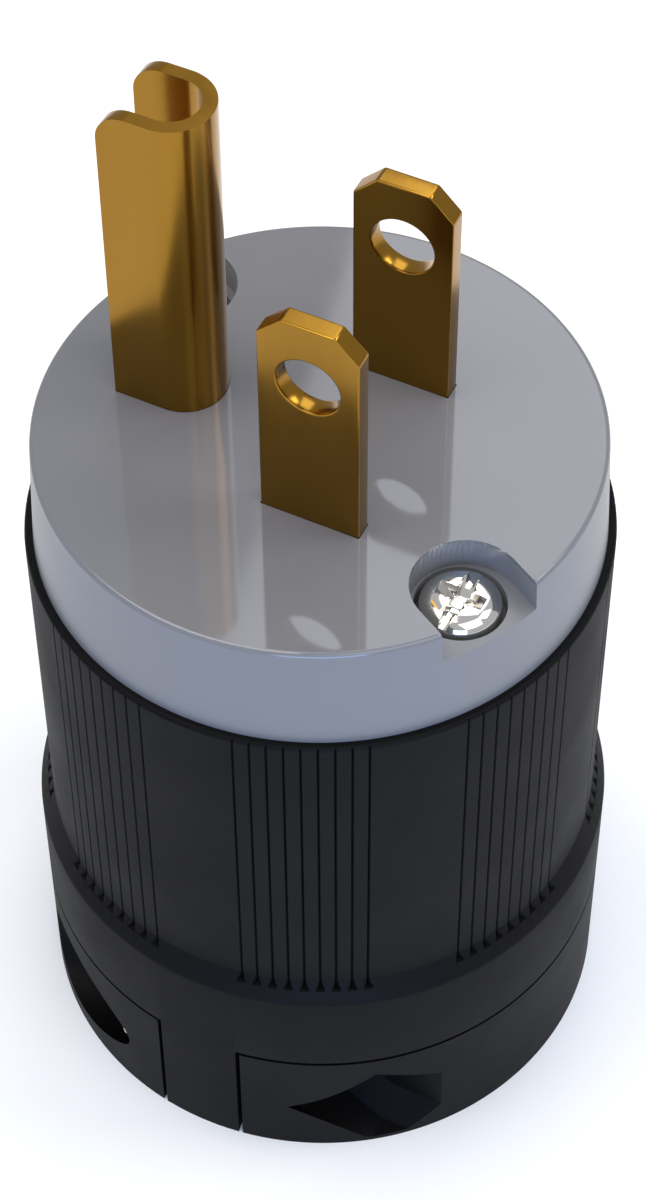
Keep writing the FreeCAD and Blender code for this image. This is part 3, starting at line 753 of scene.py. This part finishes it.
@dataclass
class FaceCap:
    """The grey face cap: a turned disc with blade slots and two open screw recesses."""

    screws: ScrewPlaces
    line: LineBlade
    ground: GroundBlade
    radius: float = box_corner("face_cap", 1)[0]
    edge: float = 0.35
    edge_points: int = 7
    draft: float = 0.35
    notch_radius: float = 3.45
    notch_shift: float = 0.55
    notch_depth: float = 2.3
    notch_edge: float = 0.1
    bore_radius: float = 2.85
    shaft_radius: float = 2.0
    slot_gap: float = 0.02
    steps: int = 256

    def build(self) -> Object:
        """Build the disc, its side drafted out to the joint, and cut its recesses and slots.

        Returns:
            The face cap.
        """
        rim = arc((self.radius - self.edge, FACE - self.edge), self.edge, 0, 90, self.edge_points)
        joint = [[0, JOINT], [self.radius + self.draft, JOINT]]
        profile = np.concatenate((joint, rim, [[0, FACE]]))
        disc = lathe("face_cap_moulding", profile, self.steps, closed=False)
        recesses = [cutter for side in (1, -1) for cutter in self.recess_cutters(side)]
        soften(carve(disc, recesses), self.notch_edge)
        return shade(carve(disc, self.slot_cutters()))

    def slot_cutters(self) -> list[Object]:
        """Make the cutters of the line slots and the U slot, a narrow gap round each blade.

        Returns:
            The three cutters.
        """
        x, half_width = self.line.x, self.line.half + self.slot_gap
        half_sheet = self.line.sheet / 2 + self.slot_gap
        low, high = JOINT - PAST, FACE + PAST
        cutters = [
            block("slot", (x - half_width, y - half_sheet, low), (x + half_width, y + half_sheet, high))
            for y in (-self.line.y, self.line.y)
        ]
        outline = self.ground.section(HALF_STEPS, self.slot_gap)
        return [*cutters, upright("slot", outline, low, high)]

    def recess_cutters(self, side: int) -> list[Object]:
        """Make the cutters of one screw recess: its open notch, its counterbore and its hole.

        Args:
            side: 1 for the front recess, -1 for the back one.

        Returns:
            The three cutters.
        """
        half_round = arc((0, 0), self.notch_radius, 90, 270, HALF_STEPS)
        mouth = [[self.radius, -self.notch_radius], [self.radius, self.notch_radius]]
        turn = math.radians(self.screws.angle) + (0 if side > 0 else math.pi)
        outwards = np.array([[math.cos(turn), math.sin(turn)], [-math.sin(turn), math.cos(turn)]])
        round_end = self.screws.centre(side, self.notch_shift)
        notch = np.concatenate((half_round, mouth)) @ outwards + round_end
        centre = self.screws.centre(side)
        cuts = (
            ("notch", notch, FACE - self.notch_depth),
            ("bore", circle(centre, self.bore_radius, BORE_STEPS), self.screws.head_seat),
            ("hole", circle(centre, self.shaft_radius, HOLE_STEPS), JOINT - PAST),
        )
        return [upright(name, outline, floor, FACE + PAST) for name, outline, floor in cuts]


@dataclass
class Shell:
    """The black shell: grip grooves from the rim down into a flared cord end, and two pillars.

    The round of the collar is given from its edge and the grid across a groove from its middle. The
    grooves' pitch is in degrees, the margin beside a panel in pitches and the hair's angle in
    radians. A hair is a narrow step of the grid that keeps an edge sharp.
    """

    grip_radius: float = 18.8
    base_radius: float = BASE_RADIUS
    floor: float = JAW_TOP
    floor_top: float = 13.4
    cord_hole: float = 7.2
    collar: float = 18.1
    collar_round: tuple[Pair, ...] = ((0.0, -0.12), (-0.03, 0.0), (-0.11, 0.14))
    flare: float = 1.6
    grip_start: float = 0.12
    top: float = JOINT
    lip: float = 0.3
    lip_points: int = 5
    mouth_bore: float = 16.6
    chamber_bore: float = 15.7
    disc_seat: float = 41.4
    groove_low: float = 19.05
    groove_step: float = 0.3
    groove_floor: float = 18.65
    groove_slope: float = 0.6
    groove_pitch: float = 3.2
    groove_across: tuple[float, ...] = (-0.48, -0.3, -0.18, -0.09, 0.0, 0.09, 0.18, 0.3, 0.48)
    grooves: int = 9
    panels: int = 8
    panel_margin: float = 0.4
    even_steps: int = 180
    pillar_half: float = 2.85
    pillar_inner: float = 17.5
    hair: float = 0.015
    hair_angle: float = 0.00075

    def pillars(self) -> tuple[np.ndarray, float]:
        """Return the angles of the two pillars' middles, and half the angle that each takes up."""
        return np.array([0.25, 0.75]) * FULL_TURN, math.asin(self.pillar_half / self.base_radius)

    def angles(self) -> np.ndarray:
        """Place the angles of the grid close together at each groove and pillar edge.

        Returns:
            The angles in radians, in order.
        """
        pitch = math.radians(self.groove_pitch)
        middle = (np.arange(self.panels) + 0.5) * FULL_TURN / self.panels
        number = np.arange(self.grooves) - (self.grooves - 1) / 2
        across = np.array(self.groove_across) / self.grip_radius
        groove = middle[:, None, None] + number[None, :, None] * pitch + across
        even = np.linspace(0, FULL_TURN, self.even_steps, endpoint=False)
        half_panel = ((self.grooves - 1) / 2 + self.panel_margin) * pitch
        even = even[nearest(even, middle) > half_panel]
        pillar, half = self.pillars()
        ways = [(way, gap) for way in (-1, 1) for gap in (0, self.hair_angle)]
        edges = [pillar + way * (half + gap) for way, gap in ways]
        return np.unique(np.round(np.concatenate((groove.ravel() % FULL_TURN, even, *edges)), 6))

    def profile(self) -> np.ndarray:
        """Lay out the wall's closed profile, up the outside and down the inside.

        Its last point stands twice, so that where one of the two goes down to a pillar's foot the
        other leaves the pillar's inner side upright.

        Returns:
            Array of radius and height.
        """
        flare_top = self.collar + self.flare
        rise = (self.base_radius - self.grip_radius) / self.flare
        low = self.groove_low
        levels = np.array([low - self.hair, low, low + self.groove_step, flare_top])
        flare = np.stack((self.base_radius - (levels - self.collar) * rise, levels), axis=-1)
        collar = np.array(self.collar_round) + (self.base_radius, self.collar)
        lip_low = self.top - self.lip
        grip = [[self.grip_radius, flare_top + self.grip_start], [self.grip_radius, lip_low]]
        centre = (self.grip_radius - self.lip, lip_low)
        lip = arc(centre, self.lip, 15, 90, self.lip_points)
        inside = [
            [self.mouth_bore, self.top], [self.mouth_bore, self.disc_seat],
            [self.chamber_bore, self.disc_seat], [self.chamber_bore, self.floor_top],
            [self.cord_hole, self.floor_top], [self.cord_hole, self.floor],
            [self.pillar_inner, self.floor], [self.pillar_inner, self.floor],
        ]
        return np.concatenate(([[self.base_radius, self.floor]], collar, flare, grip, lip, inside))

    def build(self) -> Object:
        """Work out the wall: a turned profile whose radius dips to a V at each groove.

        A groove's wall is the straight line r = floor + |w| / slope, where w is the distance
        across from the groove's middle, so the same V opens wider where the flare stands prouder
        of it. Between the pillars' edges the lowest points of the profile go down to the ground.

        Returns:
            The shell.
        """
        angle = self.angles()
        profile = self.profile()
        radius = np.tile(profile[:, 0], (len(angle), 1))
        height = np.tile(profile[:, 1], (len(angle), 1))
        pitch = math.radians(self.groove_pitch)
        panel = FULL_TURN / self.panels
        from_panel = (angle % panel) - panel / 2
        number = np.clip(np.round(from_panel / pitch), -(self.grooves // 2), self.grooves // 2)
        across = np.abs(from_panel - number * pitch) * self.grip_radius
        wall = self.groove_floor + across / self.groove_slope
        outer = profile[:, 0] > self.grip_radius - self.lip
        grooved = outer & (profile[:, 1] > self.groove_low - self.hair / 2)
        radius[:, grooved] = np.minimum(radius[:, grooved], wall[:, None])
        middle, half = self.pillars()
        pillar = nearest(angle, middle) < half + self.hair_angle / 2
        height[np.ix_(pillar, [0, -1])] = 0.0
        points = round_points(angle, radius, height)
        item = make_object("shell_moulding", points, grid_faces(len(angle), len(profile), True, True))
        return shade(item, sharp=24.0, weighted=False)


@dataclass
class ClampJaw:
    """A cord clamp jaw: a half ring with a head bore at one end and a nut pocket at the other.

    The corners of the pocket's mouth are Y and Z from the screw's line, the outer one first and
    then over the top, in the same order as the hexagon's corners inside.
    """

    places: ClampPlaces
    radius: float = BASE_RADIUS
    top: float = 10.5
    land_top: float = JAW_TOP
    land_radius: float = 15.9
    half_slot: float = 1.0
    mouth: float = 6.0
    mouth_flare: float = 1.2
    flare_height: float = 1.4
    ridge_depth: float = 0.6
    ridge_height: float = 1.1
    ridge_pitch: float = 2.5
    ridges: int = 3
    relief: Pair = (3.15, 17.2)
    screw_hole: float = 2.0
    head_bore: float = 3.55
    pocket: float = 3.45
    mouth_place: float = 11.5
    pocket_corners: tuple[Pair, ...] = (
        (-3.4, 0.0), (-0.6, 4.05), (2.75, 1.8), (2.75, -2.4), (0.95, -4.35), (-0.95, -4.35),
    )
    edge: float = 0.09
    steps: int = 256

    def profile(self) -> np.ndarray:
        """Lay out the ring's closed profile, over the land and down the mouth's ridges.

        Returns:
            Array of radius and height.
        """
        wide = self.mouth + self.mouth_flare
        outside = [
            [wide, 0], [self.radius, 0], [self.radius, self.top], [self.land_radius, self.top],
            [self.land_radius, self.land_top], [wide, self.land_top],
            [self.mouth, self.land_top - self.flare_height],
        ]
        number = (self.ridges - 1) / 2 - np.arange(self.ridges)
        middle = self.land_top / 2 + self.ridge_pitch * number
        deep = self.mouth + self.ridge_depth
        half = self.ridge_height / 2
        groove = np.array([[self.mouth, half], [deep, half], [deep, -half], [self.mouth, -half]])
        rise = np.stack((np.zeros_like(middle), middle), axis=-1)
        ridges = (groove[None] + rise[:, None]).reshape(-1, 2)
        return np.concatenate((outside, ridges, [[self.mouth, self.flare_height]]))

    def pocket_section(self, x: float, wide: bool) -> np.ndarray:
        """Return the nut pocket's outline at a place along X: a hexagon, or wide at its mouth."""
        outline = np.array(self.pocket_corners) if wide else arc((0, 0), self.pocket, 180, -120, 6)
        return np.column_stack((np.full(6, x), outline + (self.places.y, self.places.z)))

    def cutters(self, reach: float) -> list[Object]:
        """Make the cutters of the pillars' reliefs, the screw holes, the head bore and the pocket.

        Args:
            reach: A length that clears the jaw.

        Returns:
            The cutters.
        """
        x, y = self.relief
        reliefs = [
            block("relief", (0, low, -PAST), (x, high, reach))
            for low, high in ((-reach, -y), (y, reach))
        ]
        screw_y, screw_z = self.places.y, self.places.z
        holes = [
            along_x(rod("hole", self.screw_hole, reach, HOLE_STEPS), (0, y, screw_z))
            for y in (screw_y, -screw_y)
        ]
        bore = rod("bore", self.head_bore, reach, BORE_STEPS)
        along_x(bore, (-self.places.head_seat, -screw_y, screw_z))
        sections = (
            (self.places.nut_seat, False), (self.places.nut_end, False),
            (self.mouth_place, True), (reach, True),
        )
        pocket = prism("pocket", [self.pocket_section(x, wide) for x, wide in sections])
        return [*reliefs, *holes, bore, pocket]

    def build(self, name: str, side: int) -> Object:
        """Build one jaw.

        Args:
            name: Object name.
            side: 1 for the jaw on the +X side, -1 for the same moulding turned half round.

        Returns:
            The jaw.
        """
        ring = lathe(name, self.profile(), self.steps)
        reach = self.radius + 2 * PAST
        half = block("half", (self.half_slot, -reach, -PAST), (reach, reach, self.land_top + PAST))
        carve(ring, [half], Cut.SHARED)
        carve(ring, self.cutters(reach))
        return shade(on_side(soften(ring, self.edge), side))


@dataclass
class Screw:
    """A machine screw, made upright with its head seat at the origin and its shank below."""

    shank_radius: float = 1.75
    thread_depth: float = 0.28
    thread_pitch: float = 0.8
    tip_length: float = 0.5
    tip_depth: float = 0.35
    steps: int = 64
    per_turn: int = 10

    def shank(self, length: float, plain: float) -> Object:
        """Build a threaded shank that hangs from the head seat.

        The radius at angle a and height z is the outside radius less the depth times the
        distance to the nearest crest of a saw wave in z / pitch - a / turn. The wave fades over
        the first and last pitch, and the tip narrows.

        Args:
            length: Length below the head.
            plain: Unthreaded length below the head.

        Returns:
            The shank.
        """
        rows = int(length / self.thread_pitch * self.per_turn)
        depth = np.linspace(0, length, rows)
        left = length - depth
        angle = np.linspace(0, FULL_TURN, self.steps, endpoint=False)
        phase = (depth[None, :] / self.thread_pitch - angle[:, None] / FULL_TURN) % 1.0
        wave = np.abs(phase - 0.5) * 2
        pitches = np.stack((depth - plain, left)) / self.thread_pitch
        fade = np.clip(pitches, 0, 1).prod(axis=0)
        narrowing = self.tip_depth * (1 - np.clip(left / self.tip_length, 0, 1))
        radius = self.shank_radius - self.thread_depth * wave * fade - narrowing
        seat = np.zeros((self.steps, 1, 3))
        wall = round_points(angle, radius, -depth)
        points = np.concatenate((seat, wall, seat - (0, 0, length)), axis=1)
        return make_object("shank", points, grid_faces(self.steps, rows + 2, True, False))


@dataclass
class AssemblyScrew(Screw):
    """The long face screw: a domed head with a slot crossed by a tapered recess.

    The slot's shares are its half widths at its floor and at the cutter's top, in half slot
    widths. A wing of the recess goes from the first scale at its top to the second at its foot.
    """

    head_radius: float = 2.55
    head_height: float = 2.2
    foot: Pair = (0.1, 0.12)
    dome: float = 0.95
    flat: float = 1.2
    dome_points: int = 16
    slot_width: float = 0.72
    slot_depth: float = 0.6
    slot_shares: Pair = (0.7, 1.6)
    wing_width: float = 1.0
    wing_reach: float = 1.6
    wing_scales: Pair = (1.15, 0.42)
    wing_taper: float = 0.45
    wing_over: float = 0.3
    wing_under: float = 0.45
    edge: float = 0.04
    length: float = 25.0
    plain: float = 12.0
    turn: float = 88.0

    def head(self, name: str) -> Object:
        """Build the head with its slot and cross recess.

        Args:
            name: Object name.

        Returns:
            The head.
        """
        angle = np.radians(np.linspace(0, 90, self.dome_points))
        dome = np.column_stack((
            self.flat + (self.head_radius - self.flat) * np.cos(angle),
            self.head_height - self.dome + self.dome * np.sin(angle),
        ))
        inset, rise = self.foot
        seat = [[0, 0], [self.head_radius - inset, 0], [self.head_radius, rise]]
        profile = np.concatenate((seat, dome, [[0, self.head_height]]))
        item = lathe(name, profile, self.steps, closed=False)
        low, high = self.head_height - self.slot_depth, self.head_height + PAST
        narrow, wide = (share * self.slot_width / 2 for share in self.slot_shares)
        section = np.array([[0, -narrow, low], [0, narrow, low], [0, wide, high], [0, -wide, high]])
        reach = self.head_radius + PAST
        slot = prism("slot", [section + (x, 0, 0) for x in (-reach, reach)])
        wings = [self.wing(turn) for turn in (0, 90)]
        return soften(carve(item, [slot, *wings]), self.edge, sharp=45.0)

    def wing(self, turn: float) -> Object:
        """Make one tapered bar of the cross recess, wide at the face and narrow below.

        Args:
            turn: Its direction in degrees.

        Returns:
            The cutter.
        """
        top = self.head_height + self.wing_over
        low = self.head_height - self.slot_depth - self.wing_under
        outlines = []
        for level, scale in zip((top, low), self.wing_scales):
            x = self.wing_reach * scale
            y = self.wing_width / 2 * (1 - self.wing_taper + self.wing_taper * scale)
            outlines.append(at_height(np.array([[-x, -y], [x, -y], [x, y], [-x, y]]), level))
        return moved(prism("wing", outlines), spin(turn))

    def build(self, name: str, centre: Pair, seat: float) -> Object:
        """Build the screw at its place in the face cap."""
        screw = join(self.head(name), self.shank(self.length, self.plain))
        return shade(moved(screw, shift((*centre, seat)), spin(self.turn)))


@dataclass
class ClampScrew(Screw):
    """The cord clamp's screw along X: a slotted cheese head in one jaw, its tip in the other."""

    places: ClampPlaces = ClampPlaces()
    head_radius: float = 2.95
    head_height: float = 2.4
    head_edge: float = 0.45
    edge_points: int = 6
    slot_width: float = 0.75
    slot_depth: float = 1.1
    edge: float = 0.06
    tip: float = box_corner("clamp_screw_front", 1)[0]
    plain: float = 2.0

    def build(self, name: str, side: int) -> Object:
        """Build one clamp screw.

        Args:
            name: Object name.
            side: 1 for the screw at -Y, -1 for the one at +Y.

        Returns:
            The screw.
        """
        centre = (self.head_radius - self.head_edge, self.head_height - self.head_edge)
        edge = arc(centre, self.head_edge, 0, 90, self.edge_points)
        profile = np.concatenate(([[0, 0], [self.head_radius, 0]], edge, [[0, self.head_height]]))
        head = lathe(name, profile, self.steps, closed=False)
        half, reach = self.slot_width / 2, self.head_radius + PAST
        low, high = self.head_height - self.slot_depth, self.head_height + PAST
        carve(head, [block("slot", (-reach, -half, low), (reach, half, high))])
        soften(head, self.edge, sharp=40.0)
        seat = self.places.head_seat
        screw = join(head, self.shank(self.tip - seat, self.plain))
        moved(screw, shift((seat, self.places.y, self.places.z)), spin(-90, "Y"))
        return shade(on_side(screw, side))


@dataclass
class ClampNut:
    """A hexagon nut with chamfered corners on the clamp screw."""

    places: ClampPlaces
    corner: float = 3.35
    hole: float = 1.77
    chamfer: float = 0.5
    chamfer_height: float = 0.6

    def build(self, name: str, side: int) -> Object:
        """Build one nut.

        Args:
            name: Object name.
            side: 1 for the nut at -Y, -1 for the one at +Y.

        Returns:
            The nut.
        """
        outline = arc((0, 0), self.corner, 90, 390, 6)
        top = self.places.nut_end - self.places.nut_seat
        body = upright(name, outline, 0, top)
        small, rise = self.corner - self.chamfer, self.chamfer_height
        profile = np.array([
            [0, 0], [small, 0], [self.corner, rise], [self.corner, top - rise], [small, top], [0, top],
        ])
        carve(body, [lathe("round", profile, BORE_STEPS, closed=False)], Cut.SHARED)
        hole = rod("hole", self.hole, top + 2 * PAST, HOLE_STEPS)
        carve(body, [moved(hole, shift((0, 0, -PAST)))])
        along_x(body, (self.places.nut_seat, self.places.y, self.places.z))
        return shade(on_side(body, side))


@dataclass(frozen=True)
class SoftBox:
    """A square soft box: its place and size in millimetres, its power in watts and its colour."""

    name: str
    place: Place
    size: float
    watts: float
    colour: str

    def hang(self, aim: Vector) -> None:
        """Hang the soft box at its place.

        Args:
            aim: The point in metres that it faces.
        """
        data = bpy.data.lights.new(self.name, "AREA")
        data.shape = "SQUARE"
        data.size = self.size * MM
        data.energy = self.watts
        data.color = linear(self.colour)[:3]
        lamp = linked(bpy.data.objects.new(self.name, data))
        way = aim - Vector(self.place) * MM
        lamp.matrix_world = shift(self.place) @ way.to_track_quat("-Z", "Y").to_matrix().to_4x4()


# The back one hangs where the cap's face mirrors it to the camera
SOFT_BOXES = (
    SoftBox("back", (-24, 290, 520), 300, 0.76, "#f4f7ff"),
    SoftBox("top", (-160, -60, 560), 300, 1.3, "#fff8ee"),
    SoftBox("right", (340, -170, 520), 420, 1.0, "#fbfcff"),
    SoftBox("far_right", (330, 190, 520), 210, 0.9, "#fffaf2"),
    SoftBox("front", (220, -440, 150), 260, 1.8, "#8fb4ee"),
)
# Matt white paper
FLOOR_PAPER = Finish("floor_paper", "#f4f4f4", "#f6f6f6", 0.6, 0.02, 2.0, 0.001, specular=0.2)


@dataclass
class Studio:
    """Pale floor, soft boxes and the camera at the photograph's place.

    The camera's turns are in degrees, its place is in millimetres to the right, up and back along
    its own directions from the middle of the cap's face, and its clip is in metres.
    """

    focal: float = 96.0
    sensor: float = 36.0
    clip: Pair = (0.005, 20.0)
    azimuth: float = 26.55
    elevation: float = 50.87
    roll: float = -0.485
    place: Place = (0.233, -10.59, 196.95)
    floor_half: float = 3000.0
    room_colour: str = "#eef0f4"
    room_strength: float = 0.64

    def floor(self) -> None:
        """Lay a wide pale floor under the plug."""
        half = self.floor_half
        corners = np.array([[-half, -half, 0], [half, -half, 0], [half, half, 0], [-half, half, 0]])
        plane = make_object("floor", corners, [[0, 1, 2, 3]])
        plane.data.materials.append(FLOOR_PAPER.material())

    def camera(self) -> None:
        """Set the camera where the photograph's blades and rims agree."""
        data = bpy.data.cameras.new("camera")
        data.lens = self.focal
        data.sensor_width = self.sensor
        data.clip_start, data.clip_end = self.clip
        camera = linked(bpy.data.objects.new("camera", data))
        turn = spin(self.azimuth) @ spin(90 - self.elevation, "X") @ spin(self.roll)
        camera.matrix_world = shift((0, 0, FACE)) @ turn @ shift(self.place)
        bpy.context.scene.camera = camera

    def lights(self) -> None:
        """Light the plug from above and both sides, with a pale room around it."""
        world = bpy.data.worlds.new("room")
        bpy.context.scene.world = world
        world.use_nodes = True
        tree = world.node_tree
        tree.nodes.clear()
        room = {"Color": linear(self.room_colour), "Strength": self.room_strength}
        background = add_node(tree, "ShaderNodeBackground", values=room).outputs["Background"]
        add_node(tree, "ShaderNodeOutputWorld", {"Surface": background})
        for soft_box in SOFT_BOXES:
            soft_box.hang(Vector((0, 0, FACE)) * MM)

    def build(self) -> None:
        """Set up the floor, the lights and the camera, and a plain view transform."""
        self.floor()
        self.lights()
        self.camera()
        view = bpy.context.scene.view_settings
        view.view_transform = "Standard"
        view.look = "None"
        log.info("studio: camera %.0f mm", self.focal)


@dataclass
class Plug:
    """The whole plug: the places and blades that its pieces share."""

    screws: ScrewPlaces = ScrewPlaces()
    clamp: ClampPlaces = ClampPlaces()
    line: LineBlade = field(default_factory=LineBlade)
    ground: GroundBlade = field(default_factory=GroundBlade)

    def mouldings(self) -> None:
        """Build and dress the face cap, the shell and the two jaws."""
        black = BLACK_NYLON.material()
        cap = FaceCap(self.screws, self.line, self.ground)
        dress(cap.build(), GREY_NYLON.material(), "grey_nylon", "face_cap")
        dress(Shell().build(), black, "black_nylon", "shell")
        jaw = ClampJaw(self.clamp)
        for node, side in (("clamp_jaw_right", 1), ("clamp_jaw_left", -1)):
            dress(jaw.build(node + "_moulding", side), black, "black_nylon", node)

    def blades(self) -> None:
        """Build and dress the three blades."""
        brass = BLADE_BRASS.material()
        for node, side in (("blade_neutral", -1), ("blade_hot", 1)):
            dress(self.line.build(node + "_sheet", side), brass, "blade_brass", node)
        dress(self.ground.build("blade_ground_sheet"), brass, "blade_brass", "blade_ground")

    def fasteners(self) -> None:
        """Build and dress the assembly screws, the clamp screws and their nuts."""
        nickel = NICKEL_PLATE.material()
        for word, side in (("front", 1), ("back", -1)):
            place = self.screws.centre(side), self.screws.head_seat
            pieces = {
                f"assembly_screw_{word}": AssemblyScrew().build(f"face_screw_{word}", *place),
                f"clamp_screw_{word}": ClampScrew(places=self.clamp).build(f"jaw_screw_{word}", side),
                f"clamp_nut_{word}": ClampNut(self.clamp).build(f"jaw_nut_{word}", side),
            }
            for node, piece in pieces.items():
                dress(piece, nickel, "nickel_steel", node)

    def inside(self) -> None:
        """Dress the terminal carrier, the terminals and the inserts."""
        nickel = ("wire_plate_neutral", "wire_plate_ground", "terminal_screw_neutral")
        inserts = ("threaded_insert_front", "threaded_insert_back")
        finishes = (
            ("carrier_resin", CARRIER_RESIN, ("terminal_carrier",)),
            ("nickel_steel", NICKEL_PLATE, nickel),
            ("terminal_brass", TERMINAL_BRASS, ("wire_plate_hot", "terminal_screw_hot", *inserts)),
            ("green_steel", GREEN_PLATE, ("terminal_screw_ground",)),
        )
        for slot, finish, nodes in finishes:
            material = finish.material()
            for node in nodes:
                dress(smooth_copy(node + "_finished", node), material, slot, node)

    def build(self) -> None:
        """Build every piece in order."""
        self.mouldings()
        self.blades()
        self.fasteners()
        self.inside()


def main() -> None:
    """Build the plug and the studio."""
    logging.basicConfig(level=logging.INFO, format="%(name)s %(message)s")
    Plug().build()
    Studio().build()


if __name__ == "__main__":
    main()
